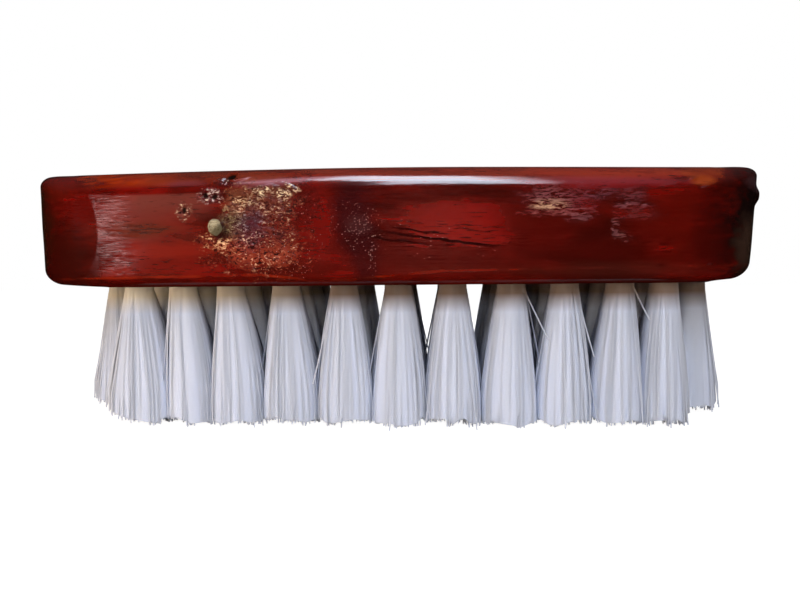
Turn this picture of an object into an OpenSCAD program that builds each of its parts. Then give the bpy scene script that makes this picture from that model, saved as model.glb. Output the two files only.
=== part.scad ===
// A wooden nail brush: a varnished hardwood block with bowed sides and round
// corners, four rows of blind bores in its underside, and in each bore a tuft of
// white bristles folded round a flat wire anchor. The brush stands on its
// bristle tips: +X runs along it, +Z is the block's back, and the origin is
// below its middle. All lengths are in millimetres.

/* [Block] */
// Length of the block, at its widest level near the back
block_l = 100; // [94:1:120]
// Width of the block, at the same level
block_w = 37.6; // [34:0.2:50]
// Height of the block
block_h = 14.6; // [12:0.2:22]
// Radius of the block's corners, seen from above
corner_r = 9.5; // [6:0.5:12]
// How far the middle of a long side bows out past its corners
side_bow = 2; // [0.6:0.1:3]
// How far the middle of an end bows out past its corners
end_bow = 0.8; // [0.3:0.1:1.5]
// Rounding of the back's edge along the long sides
back_round = 2.4; // [0.6:0.1:3]
// Rounding of the back's edge at the ends
back_end_round = 1; // [0.6:0.1:3]
// Rounding of the underside's edge along the long sides
under_round = 1.6; // [0.6:0.1:3]
// Rounding of the underside's edge at the ends
under_end_round = 2.4; // [0.6:0.1:3]
// Lean of the walls, in degrees, wider toward the back
wall_lean = 5; // [0:0.5:8]

/* [Bores] */
// Diameter of a bore
bore_d = 3.7; // [3:0.1:4.4]
// Depth of a bore, without the drill point
bore_depth = 8.5; // [6:0.5:10]
// Included angle of the drill point, in degrees
drill_point = 118; // [90:1:140]
// From an end of the block to the outermost bores, which the inner rows have
end_margin = 8.4; // [7.5:0.1:10]
// From a long side of the block to the outer rows
side_margin = 6.1; // [5.5:0.1:7]
// Distance from the outermost bores to the next ones
inner_pitch = 6.8; // [5.5:0.1:8]
// Distance on to the next ones, which the outer rows end beside
end_pitch = 5.6; // [5.2:0.1:8]
// How far the drilled pattern sits toward +X of the block's middle
field_shift = 1.1; // [0:0.1:2]
// Number of bores in an outer row
columns = 11; // [7:2:11]

/* [Tufts] */
// Free length of the bristles, from the block to the tips
bristle_l = 18.1; // [14:0.5:26]
// Clearance between a tuft and its bore, all round
tuft_gap = 0.05; // [0.03:0.01:0.1]
// Length below the block over which a tuft is still packed solid
packed_l = 2.6; // [2:0.2:5]
// How far a tuft has opened, all round, at the end of that length
packed_flare = 0.45; // [0.2:0.05:0.7]
// Number of strands of bristle in a tuft
strands = 9; // [6:1:9]
// Thickness of a strand where it leaves the packed root
strand_root_d = 0.7; // [0.5:0.05:0.8]
// Thickness of a strand at its tip, where its filaments have opened
strand_tip_d = 1.2; // [0.6:0.05:1.3]
// Free space between the fans of neighbouring tufts at their tips
fan_gap = 0.3; // [0.2:0.05:1]
// How far the tips of the end tufts lie outside their bores
end_overhang = 0.8; // [0:0.1:1]
// How much shorter the outermost tips are trimmed at the two ends
end_trim = 2.2; // [0:0.1:3]

/* [Anchors] */
// Thickness of the flat anchor wire
wire_t = 0.4; // [0.3:0.05:0.6]
// Height of an anchor in its bore
wire_h = 2; // [1.4:0.1:2.5]
// How far each end of an anchor bites into the bore's wall
wire_bite = 0.3; // [0.2:0.05:0.4]
// Clearance round an anchor, in the tuft and in the wood
wire_gap = 0.05; // [0.03:0.01:0.08]
// Solid fold of bristle above an anchor
fold_t = 1.2; // [0.9:0.1:1.6]

/* [Hidden] */
$fn = 48;

// Rows of bores: the two inner ones have one bore more at each end
rows = 4;
regular_steps = (columns - 1) / 2 - 1;
function is_inner(r) = r > 1 && r < rows;
function last_step(r) = regular_steps + (is_inner(r) ? 2 : 1);
function bores_in(r) = 2 * last_step(r) + 1;
function two_digits(n) = n < 10 ? str("0", n) : str(n);
function tuft_name(r, c) = str("tuft_r", r, "_", two_digits(c));
function anchor_name(r) = str("anchors_row_", r);

// Overrun of every cut past the face that it opens
cut_over = 1;

// Levels, from the tips up
under_z = bristle_l;
back_z = under_z + block_h;
bore_end_z = under_z + bore_depth;

// The columns between share the rest of the length evenly, and the rows the
// width. Each column is drilled a little off its even place, the same in all
// rows: the shares are of the pitch, for the columns from -X to +X
half_l = block_l / 2;
half_w = block_w / 2;
column_pitch = (half_l - end_margin - inner_pitch - end_pitch) / regular_steps;
row_pitch = (block_w - 2 * side_margin) / (rows - 1);
wander_shares = [-0.03, 0.03, -0.08, -0.04, 0.03, 0.02, 0.01, 0.06, 0.01, -0.01, -0.01];
wander_middle = (len(wander_shares) - 1) / 2;

// Places of the bores. A step counts columns from the middle of the pattern
function wander(step) =
    abs(step) > wander_middle ? 0 : wander_shares[step + wander_middle] * column_pitch;
function bore_x(step) = wander(step) + sign(step) * (
    min(abs(step), regular_steps) * column_pitch
    + (abs(step) > regular_steps ? end_pitch : 0)
    + (abs(step) > regular_steps + 1 ? inner_pitch : 0));
function step_of(r, c) = c - 1 - last_step(r);
function bore_at(r, c) = [
    field_shift + bore_x(step_of(r, c)),
    (r - (rows + 1) / 2) * row_pitch,
    0
];

// Outline of the block by the angle of its normal: a shallow arc along each
// side and end, and a round corner that is tangent to both. The block is widest
// where the back's rounding starts, so the outline's half sizes are block_l/2
// and block_w/2 there
corner_x = half_l - end_bow - corner_r;
corner_y = half_w - side_bow - corner_r;
side_r = (pow(corner_x, 2) + pow(half_w - corner_y, 2) - pow(corner_r, 2)) / (2 * side_bow);
end_r = (pow(corner_y, 2) + pow(half_l - corner_x, 2) - pow(corner_r, 2)) / (2 * end_bow);
side_turn = atan2(corner_y - (half_w - side_r), corner_x);
end_turn = atan2(corner_y, corner_x - (half_l - end_r));

// Steps of the outline in one quarter of the block, and of each edge rounding
end_steps = 3;
corner_steps = 8;
side_steps = 7;
round_steps = 5;

quarter = concat(
    [for (i = [0:end_steps - 1]) end_turn * i / end_steps],
    [for (i = [0:corner_steps - 1]) end_turn + (side_turn - end_turn) * i / corner_steps],
    [for (i = [0:side_steps - 1]) side_turn + (90 - side_turn) * i / side_steps]
);
half_turn = concat(quarter, [90], [for (i = [len(quarter) - 1:-1:1]) 180 - quarter[i]]);
outline_angles = concat(half_turn, [for (a = half_turn) 180 + a]);

// Centre and radius of the arc that has the normal angle t, in the first quarter
function arc_at(t) =
    t <= end_turn ? [half_l - end_r, 0, end_r]
    : t < side_turn ? [corner_x, corner_y, corner_r]
    : [0, half_w - side_r, side_r];

// Angle between the outline's normal and the length of the block, 0 to 90
function off_axis(angle) = atan2(abs(sin(angle)), abs(cos(angle)));

// Point of the outline, moved out along its normal by grow, at height z
function block_point(angle, grow, z) =
    let (t = off_axis(angle), arc = arc_at(t))
    [sign(cos(angle)) * (arc[0] + (arc[2] + grow) * cos(t)),
     sign(sin(angle)) * (arc[1] + (arc[2] + grow) * sin(t)),
     z];

// An edge's rounding goes over from the ends' to the sides' round the corners
function blend_at(t, at_end, at_side) =
    let (turned = min(1, max(0, (t - end_turn) / (side_turn - end_turn))))
    at_end + (at_side - at_end) * (1 - cos(180 * turned)) / 2;

// Section of the wall where the outline's normal has the angle t, as [grow, z]:
// the underside's rounding, the leaning wall and the back's rounding, each arc
// tangent to the faces beside it
function wall_section(t) =
    let (
        back_r = blend_at(t, back_end_round, back_round),
        under_r = blend_at(t, under_end_round, under_round),
        wall_top = back_r * (tan(wall_lean) + 1 / cos(wall_lean) - 1),
        under_arc_x = wall_top - block_h * tan(wall_lean)
            - under_r * (1 - sin(wall_lean)) / cos(wall_lean),
        back_arc_x = wall_top - back_r * (sin(wall_lean) + 1) / cos(wall_lean)
    )
    concat(
        [for (i = [0:round_steps])
            let (a = -90 + (90 - wall_lean) * i / round_steps)
            [under_arc_x + under_r * cos(a), under_z + under_r + under_r * sin(a)]],
        [for (i = [0:round_steps])
            let (a = -wall_lean + (90 + wall_lean) * i / round_steps)
            [back_arc_x + back_r * cos(a), back_z - back_r + back_r * sin(a)]]
    );

// Triangles of a stack of rings with n points each, listed from the bottom up and
// anticlockwise seen from above, closed by a fan at each end
function stack_faces(rings, n) = concat(
    [for (i = [1:n - 2]) [0, i, i + 1]],
    [for (k = [0:rings - 2]) for (i = [0:n - 1]) each
        let (a = k * n + i, b = k * n + (i + 1) % n)
        [[a, a + n, b], [b, a + n, b + n]]],
    [for (i = [1:n - 2]) [(rings - 1) * n, (rings - 1) * n + i + 1, (rings - 1) * n + i]]
);

// The wood before drilling, lofted from the wall's sections round the outline
module block_body() {
    sections = [for (a = outline_angles) wall_section(off_axis(a))];
    rings = len(sections[0]);
    polyhedron(
        points = [for (k = [0:rings - 1]) for (i = [0:len(outline_angles) - 1])
            block_point(outline_angles[i], sections[i][k][0], sections[i][k][1])],
        faces = stack_faces(rings, len(outline_angles)),
        convexity = 4
    );
}

// A blind bore, open below, with the point that its drill leaves
bore_r = bore_d / 2;
module bore() {
    point_l = bore_r / tan(drill_point / 2);
    translate([0, 0, under_z - cut_over])
        cylinder(r = bore_r, h = bore_depth + cut_over);
    translate([0, 0, bore_end_z])
        cylinder(r1 = bore_r, r2 = 0, h = point_l);
}

// An anchor lies across the grain, under the fold of its tuft
anchor_l = bore_d + 2 * wire_bite;
anchor_z = bore_end_z - fold_t - wire_h;
module anchor(grow = 0) {
    translate([-wire_t / 2 - grow, -anchor_l / 2 - grow, anchor_z - grow])
        cube([wire_t + 2 * grow, anchor_l + 2 * grow, wire_h + 2 * grow]);
}

module block() {
    color("#7c1710") difference() {
        block_body();
        for (r = [1:rows]) for (c = [1:bores_in(r)]) translate(bore_at(r, c)) {
            bore();
            anchor(wire_gap);
        }
    }
}

// The packed root of a tuft: its fold in the bore, with a domed inner end, and
// the length below the block that is still solid and has begun to open
root_r = bore_r - tuft_gap;
packed_r = root_r + packed_flare;
dome_h = root_r / 3;
module packed_root() {
    dome_r = (pow(root_r, 2) + pow(dome_h, 2)) / (2 * dome_h);
    packed_z = under_z - packed_l;
    difference() {
        union() {
            translate([0, 0, packed_z])
                cylinder(r1 = packed_r, r2 = root_r, h = packed_l);
            translate([0, 0, under_z])
                cylinder(r = root_r, h = bore_depth - dome_h);
            translate([0, 0, bore_end_z - dome_h])
                intersection() {
                    cylinder(r = root_r, h = dome_h);
                    translate([0, 0, dome_h - dome_r]) sphere(r = dome_r);
                }
        }
        anchor(wire_gap);
    }
}

// Fans. Neighbouring fans share the space between their tips, so a fan's half
// width along the brush follows from the nearest neighbour at the tips
function overhang_of(step) = abs(step) > regular_steps ? sign(step) * end_overhang : 0;
function tip_x(step) = bore_x(step) + overhang_of(step);
function space_after(step) = tip_x(step + 1) - tip_x(step);
function half_space(step, last) =
    step == last ? space_after(step - 1) / 2
    : step == -last ? space_after(step) / 2
    : min(space_after(step - 1), space_after(step)) / 2;

// A strand is sunk this far into the packed root, and has its middle ring at
// this share of the way down, where it has opened by the share after it
strand_sink = packed_l / 3;
middle_share = 0.45;
opened_share = 0.7;
golden_angle = 137.508;

// Height of the trimmed tips: level, but rising at the ends of the brush
trim_from = tip_x(regular_steps + 1);
trim_to = tip_x(regular_steps + 2) + half_space(regular_steps + 2, regular_steps + 2);
function trimmed_z(x) =
    end_trim * pow(max(0, (abs(x) - trim_from) / (trim_to - trim_from)), 1.5);

// One four-sided strand through three rings given as [x, y, z, thickness]
strand_sides = 4;
module strand(rings, turn) {
    polyhedron(
        points = [for (k = rings) for (i = [0:strand_sides - 1])
            let (a = turn + 360 * i / strand_sides)
            [k[0] + k[3] / 2 * cos(a), k[1] + k[3] / 2 * sin(a), k[2]]],
        faces = stack_faces(len(rings), strand_sides)
    );
}

// The strands of one tuft sit in a sunflower pattern, and every level of the fan
// is the same pattern stretched, so no two of them meet
module fan(r, c) {
    step = step_of(r, c);
    root_reach = packed_r - strand_root_d / 2 - tuft_gap;
    tip_reach_x = half_space(step, last_step(r)) - (fan_gap + strand_tip_d) / 2;
    tip_reach_y = (row_pitch - fan_gap - strand_tip_d) / 2;
    top_z = under_z - packed_l + strand_sink;
    turn = golden_angle * (c + r * columns);
    for (i = [0:strands - 1]) {
        a = turn + golden_angle * i;
        reach_share = sqrt((i + 0.5) / (strands - 0.5));
        root = [root_reach * cos(a), root_reach * sin(a)] * reach_share;
        tip = [tip_reach_x * cos(a), tip_reach_y * sin(a)] * reach_share
            + [overhang_of(step), 0];
        middle = root + (tip - root) * opened_share;
        tip_z = trimmed_z(tip[0] + bore_x(step));
        middle_z = top_z + (tip_z - top_z) * middle_share;
        middle_d = strand_root_d + (strand_tip_d - strand_root_d) * middle_share;
        strand([
            [tip[0], tip[1], tip_z, strand_tip_d],
            [middle[0], middle[1], middle_z, middle_d],
            [root[0], root[1], top_z, strand_root_d]
        ], a);
    }
}

module tuft(r, c) {
    color("#e8e8ea") translate(bore_at(r, c)) {
        packed_root();
        fan(r, c);
    }
}

module anchors(r) {
    color("#b5b0a4") for (c = [1:bores_in(r)]) translate(bore_at(r, c)) anchor();
}

block();
for (r = [1:rows]) for (c = [1:bores_in(r)])
    tuft(r, c);
for (r = [1:rows])
    anchors(r);
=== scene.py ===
# A wooden nail brush: a red-varnished hardwood block with four rows of white
# nylon tufts in its underside, standing on its bristle tips.
import math
import random

import bpy
import numpy as np
from mathutils import Matrix, Vector, noise
from mathutils.geometry import delaunay_2d_cdt


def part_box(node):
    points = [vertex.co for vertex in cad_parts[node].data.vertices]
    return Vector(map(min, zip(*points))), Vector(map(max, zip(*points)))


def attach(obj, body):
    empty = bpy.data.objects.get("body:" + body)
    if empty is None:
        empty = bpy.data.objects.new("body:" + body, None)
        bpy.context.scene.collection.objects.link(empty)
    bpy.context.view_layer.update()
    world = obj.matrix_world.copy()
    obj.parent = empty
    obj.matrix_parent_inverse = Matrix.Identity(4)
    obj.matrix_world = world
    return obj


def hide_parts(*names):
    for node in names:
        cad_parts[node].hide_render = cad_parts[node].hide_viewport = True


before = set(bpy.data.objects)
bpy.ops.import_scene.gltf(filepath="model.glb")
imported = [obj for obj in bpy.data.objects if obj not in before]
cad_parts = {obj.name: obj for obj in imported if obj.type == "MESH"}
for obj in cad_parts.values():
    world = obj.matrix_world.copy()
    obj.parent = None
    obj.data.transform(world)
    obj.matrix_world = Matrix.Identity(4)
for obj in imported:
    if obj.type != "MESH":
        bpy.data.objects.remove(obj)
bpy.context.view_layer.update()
scene = bpy.context.scene
mm = 0.001


# Camera. The photograph was taken from about 80 mm away, level with the
# underside of the block and a little to the right of its middle.
photo_width_px = 800
focal_length_px = 640
camera_place = Vector((5.79, -97.68, 18.2)) * mm
camera_yaw = -0.0509
camera_pitch_down = 0.0247
camera_roll = -0.0086


def put_in_scene(name, data):
    """Makes an object of a mesh, camera or lamp and puts it into the scene."""
    made = bpy.data.objects.new(name, data)
    scene.collection.objects.link(made)
    return made


camera_data = bpy.data.cameras.new("camera")
camera_data.sensor_width = 36
camera_data.lens = camera_data.sensor_width * focal_length_px / photo_width_px
camera_data.clip_start = 5 * mm
camera = put_in_scene("camera", camera_data)
scene.camera = camera
view_dir = Vector((
    math.sin(camera_yaw) * math.cos(camera_pitch_down),
    math.cos(camera_yaw) * math.cos(camera_pitch_down),
    -math.sin(camera_pitch_down),
))
level_right = Vector((math.cos(camera_yaw), -math.sin(camera_yaw), 0))
level_up = level_right.cross(view_dir)
camera_right = math.cos(camera_roll) * level_right + math.sin(camera_roll) * level_up
camera_up = math.cos(camera_roll) * level_up - math.sin(camera_roll) * level_right
camera.matrix_world = Matrix.Translation(camera_place) @ Matrix((
    camera_right, camera_up, -view_dir)).transposed().to_4x4()


# Bores. The block was bored blind from below, one bore for each tuft. Each is
# found again from the root of the tuft that fills it.
bore_radius = 1.85 * mm
tuft_names = sorted(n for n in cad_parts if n.startswith("tuft_"))
block_low, block_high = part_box("block")
under_z, back_z = block_low.z, block_high.z


def bore_centre(tuft_name):
    """Middle of the bore that the named tuft is set in."""
    inside = np.array([v.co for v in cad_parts[tuft_name].data.vertices])
    inside = inside[inside[:, 2] > under_z + bore_radius]
    return (inside.min(0) + inside.max(0))[:2] / 2


bores = {name: bore_centre(name) for name in tuft_names}


# The block's surface. A hardwood blank, sawn and sanded by hand: bowed sides,
# round corners, walls that lean out toward the back, and soft edges. It is
# lofted here again at the fineness that a gloss varnish needs.
half_length, half_width = block_high.x, block_high.y
corner_radius = 9.5 * mm
side_bow = 2 * mm
end_bow = 0.8 * mm
surface_step = 0.2 * mm
# Hand sanding left each edge its own rounding, and the wall its own lean: along
# the sides, at the right end and at the left end
back_rounds = np.array([2.6, 0.8, 1.1]) * mm
under_rounds = np.array([1.6, 2.6, 2.3]) * mm
wall_leans = np.radians([5.0, 4.0, 2.0])

corner_x = half_length - end_bow - corner_radius
corner_y = half_width - side_bow - corner_radius
side_radius = (corner_x**2 + (half_width - corner_y)**2 - corner_radius**2) / (2 * side_bow)
end_radius = (corner_y**2 + (half_length - corner_x)**2 - corner_radius**2) / (2 * end_bow)
side_turn = math.atan2(corner_y - half_width + side_radius, corner_x)
end_turn = math.atan2(corner_y, corner_x - half_length + end_radius)


def arc_steps(start, end, radius):
    """Angles from start up to, but without, end, a surface step apart."""
    count = max(2, round(abs(end - start) * radius / surface_step))
    return [start + (end - start) * i / count for i in range(count)]


def ease(low, high, value):
    """0 below low, 1 above high, and a smooth rise between them."""
    share = np.clip((value - low) / (high - low), 0, 1)
    return share * share * (3 - 2 * share)


quarter = [(half_length - end_radius, 0, end_radius, a)
           for a in arc_steps(0, end_turn, end_radius)]
quarter += [(corner_x, corner_y, corner_radius, a)
            for a in arc_steps(end_turn, side_turn, corner_radius)]
quarter += [(0, half_width - side_radius, side_radius, a)
            for a in arc_steps(side_turn, math.pi / 2, side_radius)]
half_outline = quarter + [(0, half_width - side_radius, side_radius, math.pi / 2)]
half_outline += [(-x, y, r, math.pi - a) for x, y, r, a in reversed(quarter[1:])]
outline = np.array(half_outline + [(-x, -y, r, a + math.pi) for x, y, r, a in half_outline])
outline_normal = np.stack([np.cos(outline[:, 3]), np.sin(outline[:, 3])], axis=1)
ring_size = len(outline)

# An end's rounding begins and is complete where the outline faces it this much
end_begins, end_complete = 0.25, 0.75
right_share = ease(end_begins, end_complete, outline_normal[:, 0])
left_share = ease(end_begins, end_complete, -outline_normal[:, 0])
shares = np.stack([1 - right_share - left_share, right_share, left_share])
back_round, under_round, lean = back_rounds @ shares, under_rounds @ shares, wall_leans @ shares

# Section through the wall, from the underside up: an arc, the leaning wall
# and a second arc. Each row holds how far a ring lies out of the outline.
wall_top_out = back_round * (np.cos(lean) - 1)
wall_top_z = back_z - back_round * (1 + np.sin(lean))
wall_foot_z = under_z + under_round * (1 - np.sin(lean))
wall_foot_out = wall_top_out - (wall_top_z - wall_foot_z) * np.tan(lean)
ring_out, ring_z, ring_turn = [], [], []
under_rings = round(math.pi / 2 * max(under_rounds) / surface_step)
wall_rings = round((back_z - under_z) / surface_step)
back_rings = 2 * round(math.pi / 2 * max(back_rounds) / surface_step)
for i in range(under_rings):
    turn = -math.pi / 2 + (math.pi / 2 - lean) * i / under_rings
    ring_out.append(wall_foot_out + under_round * (np.cos(turn) - np.cos(lean)))
    ring_z.append(under_z + under_round * (1 + np.sin(turn)))
    ring_turn.append(turn)
for i in range(wall_rings):
    ring_out.append(wall_foot_out + (wall_top_out - wall_foot_out) * i / wall_rings)
    ring_z.append(wall_foot_z + (wall_top_z - wall_foot_z) * i / wall_rings)
    ring_turn.append(-lean)
for i in range(back_rings + 1):
    turn = -lean + (math.pi / 2 + lean) * i / back_rings
    ring_out.append(back_round * (np.cos(turn) - 1))
    ring_z.append(back_z - back_round * (1 - np.sin(turn)))
    ring_turn.append(turn)
ring_count = len(ring_out)
ring_out, ring_z, ring_turn = np.array(ring_out), np.array(ring_z), np.array(ring_turn)
surface = np.stack([
    outline[:, 0] + (outline[:, 2] + ring_out) * outline_normal[:, 0],
    outline[:, 1] + (outline[:, 2] + ring_out) * outline_normal[:, 1],
    ring_z], axis=2).reshape(-1, 3)
surface_normal = np.stack([
    np.cos(ring_turn) * outline_normal[:, 0],
    np.cos(ring_turn) * outline_normal[:, 1],
    np.sin(ring_turn)], axis=2).reshape(-1, 3)

# Marks in the wood under the varnish, all on the side that the photograph
# shows: x and z of each in millimetres, its half sizes, the slope of its long
# side, and how far it stands out of the surface, or, where negative, goes in.
marks = [
    (-22.7, 29.4, 0.34, 0.40, 0.0, -0.35),
    (-21.5, 29.2, 0.46, 0.34, 0.3, -0.28),
    (-19.4, 31.7, 0.70, 0.42, 0.3, -0.30),
    (-20.9, 31.2, 1.50, 0.20, 0.35, 0.08),
    (-18.2, 31.3, 1.50, 0.16, 0.25, 0.06),
    (-25.6, 27.7, 0.34, 0.46, 0.0, -0.18),
    (39.4, 29.7, 0.60, 0.26, 0.1, 0.12),
    (38.4, 31.0, 0.90, 0.24, 0.3, 0.10),
    (35.1, 30.1, 1.60, 0.14, 0.2, 0.07),
    (40.4, 20.1, 0.35, 0.16, 0.0, 0.12),
]
# How sharply a mark drops off at its edge, how uneven the edge is, and how fine
mark_firmness = 1.5
mark_waver, mark_fineness = 0.7, 2.2
# A hole has a broken raised rim: how far out it lies and how wide it is, in half
# sizes of the hole, its height as a share of the depth, and the z it ends at
rim_place = 1.45
rim_width = 0.35
rim_share = 0.4
rim_top_z = 31.2
rim_mean, rim_waver, rim_fineness = 0.6, 1.6, 1.3
# The bead of resin, a lumpy half ball with an uneven outline
bead_x, bead_z = -21.6, 25.6
bead_half_x, bead_half_z = 0.86, 0.98
bead_height = 0.7
bead_waver, bead_fineness = 0.18, 1.1
lump_height, lump_fineness = 0.6, 2.6
# Blistered areas: x, z, half sizes, width of one blister and its height. The
# blisters are drawn out a little along the grain, and fade out over an uneven
# edge, given in half sizes of the area.
blister_stretch = 1.3
blister_full_height = 0.12
area_edge, area_fade, area_waver = 1.1, 0.35, 0.5
blisters = [
    (-17.6, 28.2, 2.3, 1.9, 0.42, 0.16),
    (-14.4, 29.4, 2.6, 1.1, 0.42, 0.15),
    (-12.5, 29.9, 1.5, 0.8, 0.42, 0.12),
    (-14.6, 27.2, 2.3, 1.8, 0.40, 0.12),
    (-19.0, 25.9, 1.6, 1.6, 0.36, 0.15),
    (-22.2, 23.9, 1.6, 0.8, 0.44, 0.12),
    (-20.0, 23.1, 1.8, 0.8, 0.44, 0.11),
    (-13.9, 24.4, 2.6, 1.0, 0.40, 0.12),
    (-17.0, 25.4, 1.5, 2.4, 0.36, 0.14),
    (-16.0, 22.2, 5.0, 2.4, 0.55, 0.06),
    (-10.4, 28.5, 2.4, 2.6, 0.55, 0.020),
    (-22.0, 29.5, 1.1, 0.8, 0.34, 0.10),
    (-25.6, 27.7, 0.8, 0.8, 0.36, 0.10),
]
# A small drip of varnish high on the right end
drip_place = (48.2, -11.2, 29.4)
drip_radius = 1.0
drip_height = 0.45
# The left corner was cut a little flatter than the side: a soft arris, which
# runs nearest to the middle half way up
arris_x, arris_z = -37.6, 25.5
arris_curve = 0.055
arris_slope = 0.08
arris_reach = 4.5
# The waves that hand sanding left all over: their height, and their length
# around the block and up it
wave_height = 0.05
wave_around, wave_up = 9, 5
front_begins_y = -9
flat_from = 0.98

x_mm, y_mm, z_mm = (surface / mm).T
on_front = (y_mm < front_begins_y) & (np.abs(surface_normal[:, 2]) < flat_from)
wall_share = 1 - np.abs(surface_normal[:, 2])**4
raised = wall_share * np.array([
    wave_height * noise.noise(Vector((x / wave_around, y / wave_around, z / wave_up)))
    for x, y, z in surface / mm])
past_arris = arris_x - arris_curve * (z_mm - arris_z)**2 - x_mm
raised -= (y_mm < 0) * wall_share * arris_slope * np.where(
    past_arris > 0, past_arris * np.exp(-(past_arris / arris_reach)**2), 0)


def waver(points, layer, fineness):
    """Uneven values from about -1 to 1 for points of the wall. They change faster
    the higher the fineness, and each layer has its own."""
    return np.array([noise.noise(Vector((x_mm[i], z_mm[i], layer)) * fineness) for i in points])


pit = np.zeros(len(surface))
for x, z, half_x, half_z, slope, height in marks:
    far = ((x_mm - x) / half_x)**2 + ((z_mm - z - slope * (x_mm - x)) / half_z)**2
    near = np.nonzero(on_front & (far < 9))[0]
    ragged_far = far[near] * (1 + mark_waver * waver(near, x, mark_fineness))
    mark = np.exp(-ragged_far**mark_firmness)
    raised[near] += height * mark
    if height < 0:
        pit[near] = np.maximum(pit[near], mark)
        rim = np.exp(-((np.sqrt(ragged_far) - rim_place) / rim_width)**2)
        unbroken = np.maximum(0, rim_mean + rim_waver * waver(near, x, rim_fineness))
        raised[near] -= height * rim_share * rim * unbroken * (z_mm[near] < rim_top_z)

bead_far = np.hypot((x_mm - bead_x) / bead_half_x, (z_mm - bead_z) / bead_half_z)
near = np.nonzero(on_front & (bead_far < 2))[0]
bead_far[near] *= 1 + bead_waver * waver(near, bead_x, bead_fineness)
bead = on_front * np.clip((1.3 - bead_far) / 0.6, 0, 1)
inside = np.nonzero(on_front & (bead_far < 1))[0]
raised[inside] += bead_height * np.sqrt(1 - bead_far[inside]**2) * (
    1 + lump_height * waver(inside, 0, lump_fineness))

blister = np.zeros(len(surface))
for x, z, half_x, half_z, width, height in blisters:
    far = np.sqrt(((x_mm - x) / half_x)**2 + ((z_mm - z) / half_z)**2)
    for i in np.nonzero(on_front & (far < 1.3))[0]:
        spot = Vector((x_mm[i] / (blister_stretch * width), y_mm[i] / width, z_mm[i] / width))
        past_edge = far[i] + area_waver * noise.noise(spot / 4)
        fade = min(1, max(0, (area_edge - past_edge) / area_fade))
        swelling = 1.2 * noise.noise(spot) + 0.8 * noise.noise(spot * 1.9)
        raised[i] += fade * height * swelling
        blister[i] = max(blister[i], fade * min(1, height / blister_full_height))

drip_far = sum((at - to)**2 for at, to in zip((x_mm, y_mm, z_mm), drip_place)) / drip_radius**2
raised += drip_height * np.exp(-drip_far**mark_firmness)
surface += surface_normal * (raised * mm)[:, None]

# The back isn't quite parallel to the underside: it rises toward the left end.
# The underside is sanded up a little at both ends. Each slope's span is given
# in half lengths from the middle of the block.
back_rise = 0.34 * mm
back_rise_span = (-0.2, 0.8)
end_lift = 0.45 * mm
end_lift_span = (0.7, 0.95)
from_middle = (surface[:, 2] * 2 - under_z - back_z) / (back_z - under_z)
toward_end = surface[:, 0] / half_length
surface[:, 2] += back_rise * (1 - ease(*back_rise_span, toward_end)) * np.clip(from_middle, 0, 1)
surface[:, 2] += end_lift * ease(*end_lift_span, np.abs(toward_end)) * np.clip(-from_middle, 0, 1)

verts = [tuple(p) for p in surface]
faces = []
for k in range(ring_count - 1):
    for i in range(ring_size):
        j = (i + 1) % ring_size
        faces.append((k * ring_size + i, k * ring_size + j,
                      (k + 1) * ring_size + j, (k + 1) * ring_size + i))
faces.append(tuple(range((ring_count - 1) * ring_size, ring_count * ring_size)))

# Underside, with its bores: each is a short wall and a floor that the tuft hides.
first_under_face = len(faces)
bore_sides = 28
bore_shown_depth = 3 * mm
joined_within = surface_step / 100
inside_bore = bore_radius * 0.99
sharp_from = math.radians(50)
flat_points = [Vector(p[:2]) for p in surface[:ring_size]]
flat_edges = [(i, (i + 1) % ring_size) for i in range(ring_size)]
for cx, cy in bores.values():
    first = len(flat_points)
    for i in range(bore_sides):
        a = 2 * math.pi * i / bore_sides
        flat_points.append(Vector((cx + bore_radius * math.cos(a),
                                   cy + bore_radius * math.sin(a))))
        flat_edges.append((first + i, first + (i + 1) % bore_sides))
points, _, triangles, sources, _, _ = delaunay_2d_cdt(
    flat_points, flat_edges, [], 1, joined_within)
index_of = []
for p, source in zip(points, sources):
    if source and source[0] < ring_size:
        index_of.append(source[0])
    else:
        index_of.append(len(verts))
        verts.append((p.x, p.y, under_z))
centres = np.array(list(bores.values()))
for tri in triangles:
    middle = sum((points[i] for i in tri), Vector((0, 0))) / 3
    if np.min(np.hypot(*(centres - np.array(middle)).T)) > inside_bore:
        faces.append(tuple(index_of[i] for i in reversed(tri)))
source_index = {s: index_of[n] for n, source in enumerate(sources) for s in source}
for b in range(len(bores)):
    mouth = [source_index[ring_size + b * bore_sides + i] for i in range(bore_sides)]
    top = list(range(len(verts), len(verts) + bore_sides))
    verts += [(verts[i][0], verts[i][1], under_z + bore_shown_depth) for i in mouth]
    for i in range(bore_sides):
        j = (i + 1) % bore_sides
        faces.append((mouth[i], mouth[j], top[j], top[i]))
    faces.append(tuple(reversed(top)))

block_mesh = bpy.data.meshes.new("block_varnished")
block_mesh.from_pydata(verts, [], faces)
for name, values in (("blister", blister), ("pit", pit), ("bead", bead)):
    layer = block_mesh.attributes.new(name, "FLOAT", "POINT")
    layer.data.foreach_set("value", np.append(values, np.zeros(len(verts) - len(values))))
block_mesh.validate()
block_mesh.shade_smooth()
block_mesh.set_sharp_from_angle(angle=sharp_from)
block = put_in_scene("block_varnished", block_mesh)
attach(block, "root")
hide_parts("block")


# The block's finish. The wood was stained red by hand, blotchy and streaked
# along the grain, and dipped in a thick gloss varnish. That gives it depth and a
# mirror edge, a thin orange edge where the stain was rubbed, and open pores.
def linear(hex_colour):
    """sRGB hex colour as linear red, green, blue and alpha."""
    parts = [int(hex_colour[i:i + 2], 16) / 255 for i in (1, 3, 5)]
    return (*[c / 12.92 if c <= 0.04045 else ((c + 0.055) / 1.055)**2.4 for c in parts], 1)


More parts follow.
